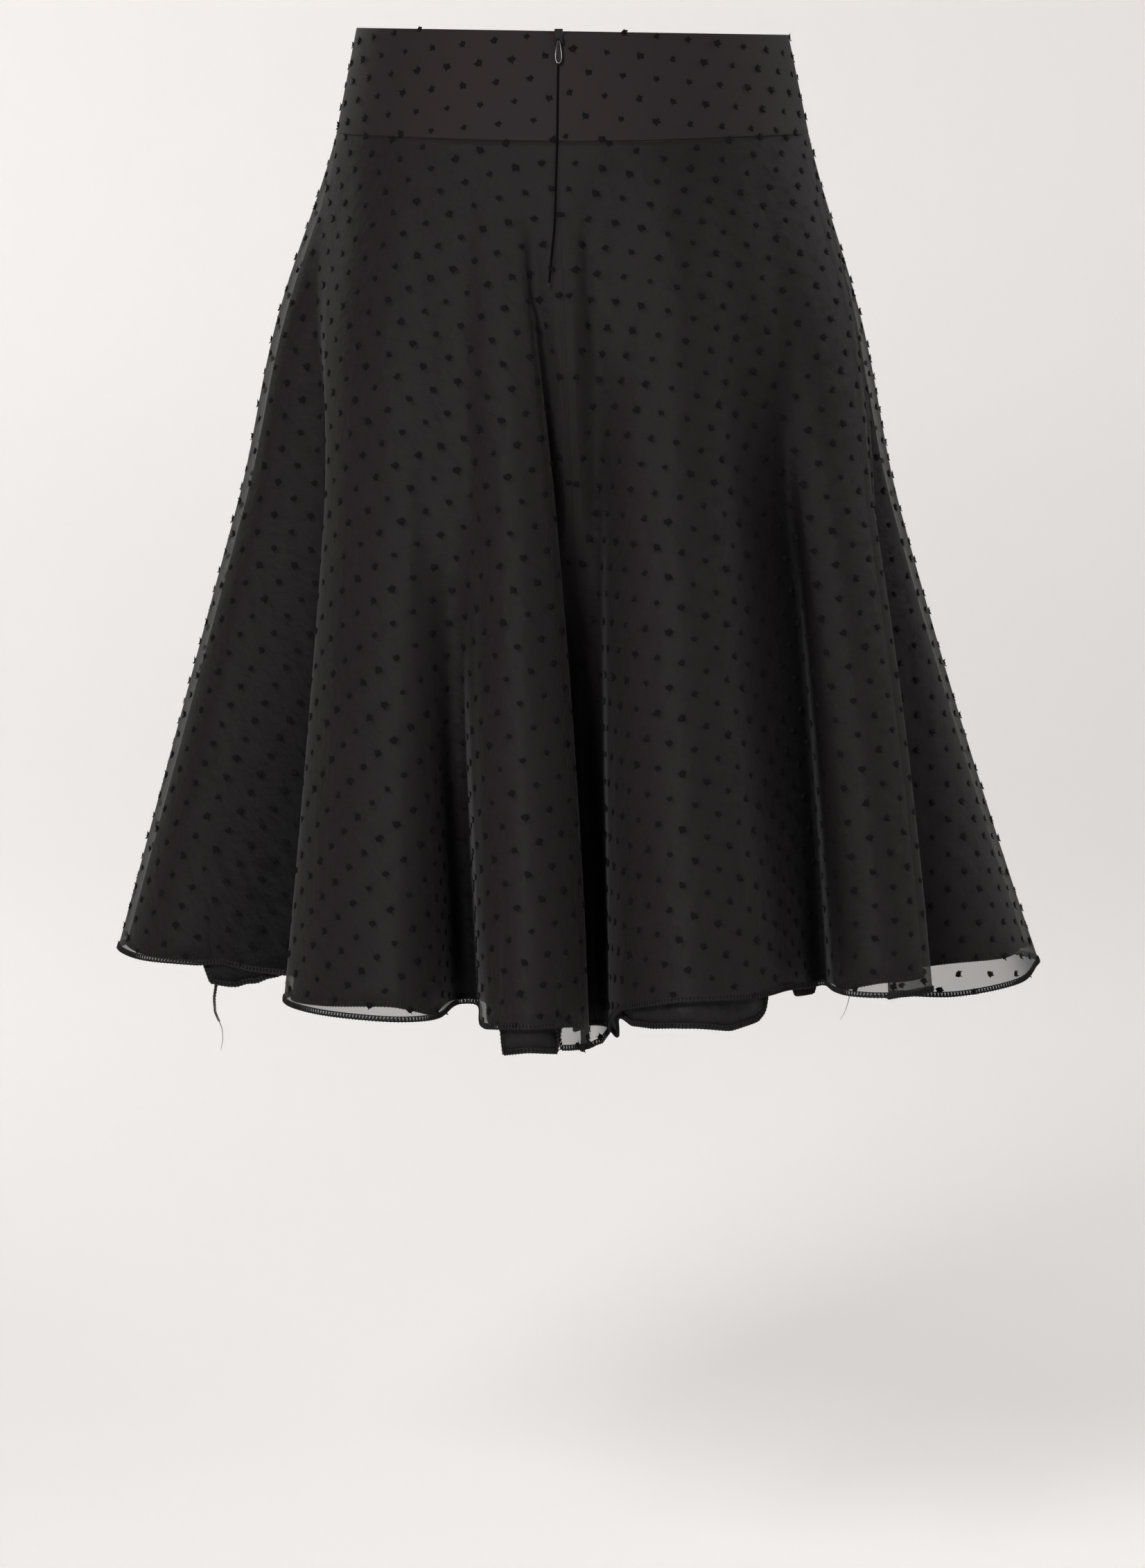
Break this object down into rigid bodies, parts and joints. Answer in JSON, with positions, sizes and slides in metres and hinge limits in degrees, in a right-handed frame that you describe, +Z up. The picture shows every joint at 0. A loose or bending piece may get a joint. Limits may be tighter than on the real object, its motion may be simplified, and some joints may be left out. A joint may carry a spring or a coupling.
{
  "type": "midi skirt",
  "caption": "Flared midi skirt of dotted chiffon over a satin lining, with a shaped waistband and a zip at the back, in the hollow form it takes when worn.",
  "frame": {"origin": "centre of the waist opening, level with the top of the waistband", "axes": "+Z up along the wearer, -Y towards the wearer's back with the zip, +X to the right seen from the back"},
  "size_m": [0.6126, 0.501, 0.6405],
  "materials": {
    "chiffon": "sheer dotted chiffon, nearly black over its lining",
    "satin": "soft satin lining, nearly black",
    "tape": "woven zip tape and coil, black",
    "enamel": "glossy black enamel"
  },
  "bodies": {
    "garment": {"band_back_left": "chiffon", "band_back_right": "chiffon", "band_front": "chiffon", "skirt_back_left": "chiffon", "skirt_back_right": "chiffon", "skirt_front": "chiffon", "lining_back_left": "satin", "lining_back_right": "satin", "lining_front": "satin", "zip_chain": "tape", "zip_slider": "enamel"},
    "zip_pull": {"zip_pull": "enamel"}
  },
  "joints": [
    {"name": "zip_pull_hinge", "type": "hinge", "parent": "garment", "child": "zip_pull", "pos_m": [-0.00879, -0.10455, -0.00609], "axis": [-1, 0, 0], "range_deg": [0, 165]}
  ]
}
